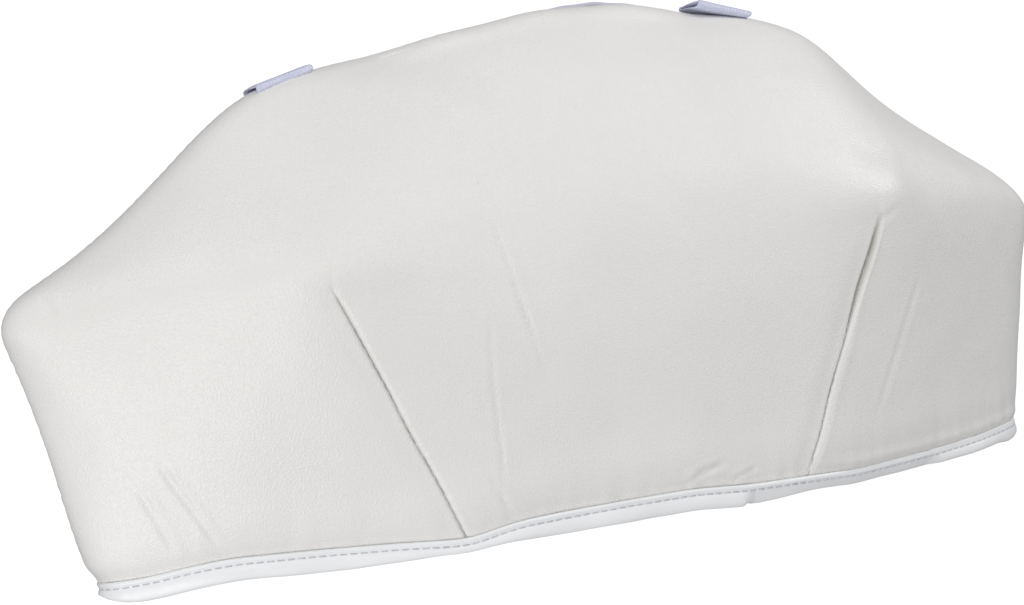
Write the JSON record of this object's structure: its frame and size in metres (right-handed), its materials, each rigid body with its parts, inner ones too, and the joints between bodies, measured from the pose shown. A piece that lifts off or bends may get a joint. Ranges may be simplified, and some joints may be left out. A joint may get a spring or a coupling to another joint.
{
  "type": "bolster pillow",
  "caption": "Padded spa bolster pillow with a mansard front, sewn darts, a bound bottom seam and webbing strap loops on its top edge.",
  "frame": {"origin": "centre of the footprint on the surface the pillow lies on, back down", "axes": "+Z out of the padded front, away from the flat back; +X across the width; +Y from the bound bottom seam to the top edge with the loops"},
  "size_m": [0.4756, 0.2205, 0.074],
  "materials": {
    "foam": "open-cell polyurethane foam, matt",
    "wadding": "lofty polyester wadding",
    "vinyl": "white upholstery vinyl with a fine leather grain, soft satin",
    "vinyl_back": "white upholstery vinyl, plain back and bottom panels, satin",
    "binding": "cool white satin vinyl tape, folded and top-stitched",
    "binding_back": "pale lavender-white woven tape",
    "webbing": "lavender-white ribbed webbing",
    "thread": "white polyester sewing thread"
  },
  "bodies": {
    "pillow": {"foam_core": "foam", "wadding_wrap": "wadding", "front_cover": "vinyl", "back_panel": "vinyl_back", "bottom_panel": "vinyl_back", "bottom_binding": "binding", "bottom_binding_stitches": "thread", "back_binding": "binding_back", "back_binding_stitches": "thread", "dart_stitches_left": "thread", "dart_stitches_right": "thread", "loop_tacks_left": "thread", "loop_tacks_right": "thread"},
    "loop_left": {"webbing_loop_left": "webbing"},
    "loop_right": {"webbing_loop_right": "webbing"}
  },
  "joints": [
    {"name": "loop_left_swing", "type": "hinge", "parent": "pillow", "child": "loop_left", "pos_m": [-0.11791, 0.09521, 0.002], "axis": [-0.9602, -0.2792, 0], "range_deg": [0, 90]},
    {"name": "loop_right_swing", "type": "hinge", "parent": "pillow", "child": "loop_right", "pos_m": [0.08868, 0.10258, 0.002], "axis": [-0.9777, 0.21, 0], "range_deg": [0, 90]}
  ]
}
